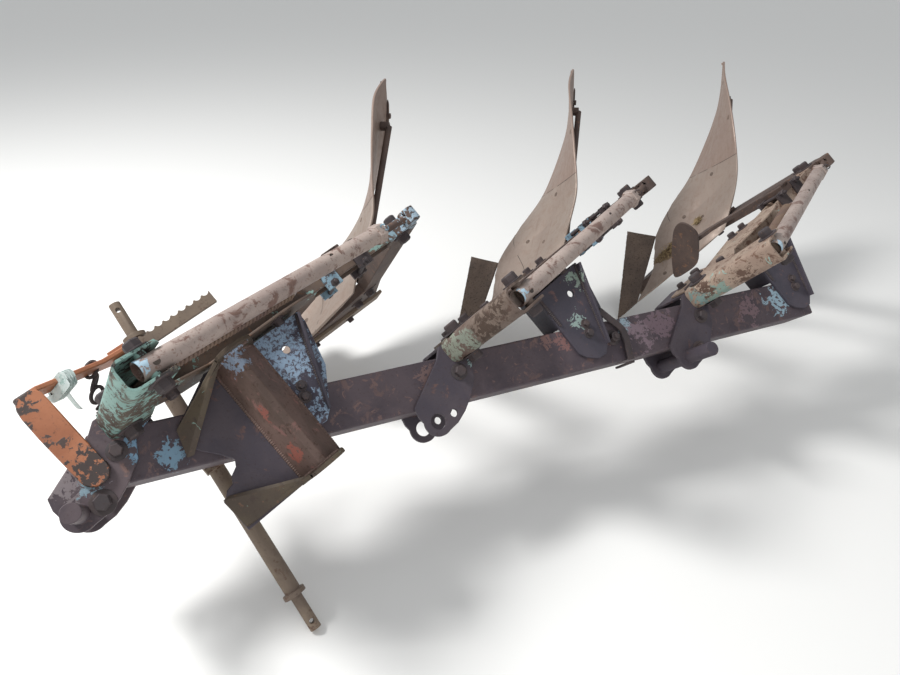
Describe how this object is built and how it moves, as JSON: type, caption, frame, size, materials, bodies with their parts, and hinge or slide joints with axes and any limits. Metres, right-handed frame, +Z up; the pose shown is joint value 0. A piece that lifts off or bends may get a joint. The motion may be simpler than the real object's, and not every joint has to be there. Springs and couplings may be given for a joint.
{
  "type": "three-furrow mounted moldboard plough",
  "caption": "Old right-hand moldboard plough for a tractor, with spring trip legs in a diagonal row under a square beam, lying on its land side.",
  "frame": {"origin": "centre of the bounding box at ground level", "axes": "+X along the beam towards the hitch end, +Z up, with the plough lying on its land side"},
  "size_m": [2.7972, 1.387, 0.979],
  "materials": {
    "beam_paint": "dark rusted paint",
    "frame_rust": "rusted",
    "dark_steel": "dark rusted",
    "orange_paint": "chipped paint",
    "box_paint": "chipped paint over rust",
    "tube_rust": "worn, lightly rusted",
    "spring_steel": "rusted",
    "worn_steel": "worn by soil, lightly rusted",
    "pitted_steel": "pitted rust"
  },
  "bodies": {
    "frame": {"main_beam": "beam_paint", "mast_plate": "beam_paint", "mast_crossbar": "frame_rust", "mast_gussets": "frame_rust", "cross_shaft": "dark_steel", "serrated_bar": "dark_steel", "hitch_strap": "orange_paint", "bracket_1": "frame_rust", "bracket_2": "frame_rust", "bracket_3": "frame_rust", "trip_box_1": "box_paint", "trip_box_2": "box_paint", "trip_box_3": "box_paint", "rear_bracket_1": "beam_paint", "rear_bracket_2": "beam_paint", "rear_bracket_3": "beam_paint"},
    "trip_leg_1": {"trip_arm_1": "dark_steel", "leg_1": "dark_steel", "frog_1": "dark_steel", "moldboard_1": "worn_steel", "share_1": "pitted_steel", "landside_1": "pitted_steel", "tail_stay_1": "dark_steel", "skimmer_1": "dark_steel"},
    "strut_1": {"reaction_tube_1": "tube_rust", "reset_spring_1": "spring_steel"},
    "trip_leg_2": {"trip_arm_2": "dark_steel", "leg_2": "dark_steel", "frog_2": "dark_steel", "moldboard_2": "worn_steel", "share_2": "pitted_steel", "landside_2": "pitted_steel", "tail_stay_2": "dark_steel"},
    "strut_2": {"reaction_tube_2": "tube_rust", "reset_spring_2": "spring_steel"},
    "trip_leg_3": {"trip_arm_3": "dark_steel", "leg_3": "dark_steel", "frog_3": "dark_steel", "moldboard_3": "worn_steel", "share_3": "pitted_steel", "landside_3": "pitted_steel", "tail_stay_3": "dark_steel", "skimmer_3": "dark_steel"},
    "strut_3": {"reaction_tube_3": "tube_rust", "reset_spring_3": "spring_steel"}
  },
  "joints": [
    {"name": "leg_trip_1", "type": "hinge", "parent": "frame", "child": "trip_leg_1", "pos_m": [1.20511, 0.41823, 0.55145], "axis": [-0.4369, 0.6335, -0.6386], "range_deg": [0, 20], "stiffness_Nm_per_rad": 6000, "springref_deg": -20.05},
    {"name": "strut_swing_1", "type": "hinge", "parent": "frame", "child": "strut_1", "pos_m": [1.12411, 0.54458, 0.73219], "axis": [-0.4369, 0.6335, -0.6386], "range_deg": [0, 21.2]},
    {"name": "leg_trip_2", "type": "hinge", "parent": "frame", "child": "trip_leg_2", "pos_m": [0.40454, 0.41834, 0.55114], "axis": [-0.4369, 0.6335, -0.6386], "range_deg": [0, 20], "stiffness_Nm_per_rad": 6000, "springref_deg": -20.05},
    {"name": "strut_swing_2", "type": "hinge", "parent": "frame", "child": "strut_2", "pos_m": [0.32355, 0.54468, 0.73188], "axis": [-0.4369, 0.6335, -0.6386], "range_deg": [0, 21.2]},
    {"name": "leg_trip_3", "type": "hinge", "parent": "frame", "child": "trip_leg_3", "pos_m": [-0.39602, 0.41844, 0.55083], "axis": [-0.4369, 0.6335, -0.6386], "range_deg": [0, 20], "stiffness_Nm_per_rad": 6000, "springref_deg": -20.05},
    {"name": "strut_swing_3", "type": "hinge", "parent": "frame", "child": "strut_3", "pos_m": [-0.47702, 0.54478, 0.73157], "axis": [-0.4369, 0.6335, -0.6386], "range_deg": [0, 21.2]}
  ],
  "couplings": [
    {"joint": "strut_swing_1", "follows": "leg_trip_1", "ratio": 1.06},
    {"joint": "strut_swing_2", "follows": "leg_trip_2", "ratio": 1.06},
    {"joint": "strut_swing_3", "follows": "leg_trip_3", "ratio": 1.06}
  ]
}
